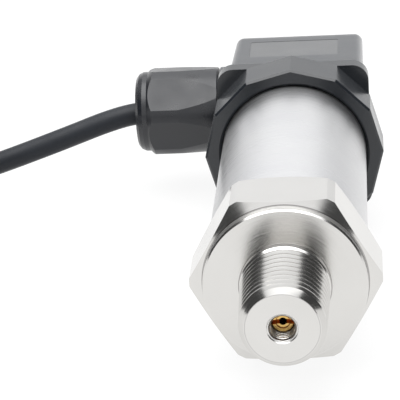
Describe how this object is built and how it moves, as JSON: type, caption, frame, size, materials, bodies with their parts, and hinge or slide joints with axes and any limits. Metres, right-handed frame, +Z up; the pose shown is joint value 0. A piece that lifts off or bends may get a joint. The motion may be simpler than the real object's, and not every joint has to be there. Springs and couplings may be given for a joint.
{
  "type": "pressure transmitter",
  "caption": "Compact pressure transmitter: steel hex port with male taper thread, round tube, square angle plug with side gland and a coiled cable.",
  "frame": {"origin": "on the body axis, in the plane of the shoulder that faces the pipework, at the root of the threaded stub", "axes": "-Y out of the pressure port along the thread, +Z up as it lies, the cable leaves the gland towards -X"},
  "size_m": [0.1468, 0.1074, 0.0322],
  "materials": {
    "turned_steel": "turned and milled, satin",
    "tube_steel": "drawn tube, fine satin",
    "brass": "turned brass",
    "seal_rubber": "moulded rubber",
    "gasket_rubber": "moulded rubber, matte",
    "cell_ceramic": "fired alumina, smooth",
    "ribbon_film": "polyimide film",
    "holder_plastic": "moulded nylon",
    "board_laminate": "glass laminate with lacquer",
    "chip_plastic": "moulded epoxy",
    "lead_insulation": "extruded PVC",
    "head_plastic": "moulded glass-filled nylon, semi-gloss",
    "carrier_plastic": "moulded nylon",
    "plug_plastic": "moulded nylon, fine spark finish",
    "nut_plastic": "moulded nylon, smooth",
    "tinned_metal": "tin plated",
    "plated_steel": "zinc plated",
    "cable_jacket": "extruded PVC, soft sheen",
    "tie_plastic": "nylon strap"
  },
  "bodies": {
    "transmitter": {"process_connection": "turned_steel", "body_tube": "tube_steel", "sensor_seal": "seal_rubber", "sensor_cell": "cell_ceramic", "sensor_retainer": "turned_steel", "sensor_ribbon": "ribbon_film", "board_holder": "holder_plastic", "circuit_board": "board_laminate", "board_parts": "chip_plastic", "board_leads": "lead_insulation", "connector_head": "head_plastic", "head_seal": "seal_rubber", "contact_carrier": "carrier_plastic", "contact_blades": "tinned_metal", "earth_blade": "tinned_metal", "insert_nut": "brass", "plug_gasket": "gasket_rubber", "plug_housing": "plug_plastic", "terminal_block": "carrier_plastic", "contact_sockets": "brass", "terminal_screws": "plated_steel", "screw_seal": "seal_rubber", "gland_bush": "gasket_rubber", "gland_washer": "carrier_plastic", "plug_leads": "lead_insulation", "cable": "cable_jacket", "cable_coil": "cable_jacket", "coil_tie": "tie_plastic", "cable_tail": "cable_jacket", "core_ends": "lead_insulation", "ferrules": "tinned_metal"},
    "gland_nut": {"gland_nut": "nut_plastic"},
    "fixing_screw": {"fixing_screw": "plated_steel"},
    "snubber_screw": {"snubber_screw": "brass"}
  },
  "joints": [
    {"name": "gland_nut_turn", "type": "hinge", "parent": "transmitter", "child": "gland_nut", "pos_m": [-0.022, 0.0825, 0], "axis": [-1, 0, 0], "continuous": true},
    {"name": "fixing_screw_turn", "type": "hinge", "parent": "transmitter", "child": "fixing_screw", "pos_m": [0, 0.08, 0], "axis": [0, 1, 0], "continuous": true},
    {"name": "snubber_screw_turn", "type": "hinge", "parent": "transmitter", "child": "snubber_screw", "pos_m": [0, -0.011, 0], "axis": [0, -1, 0], "continuous": true}
  ]
}
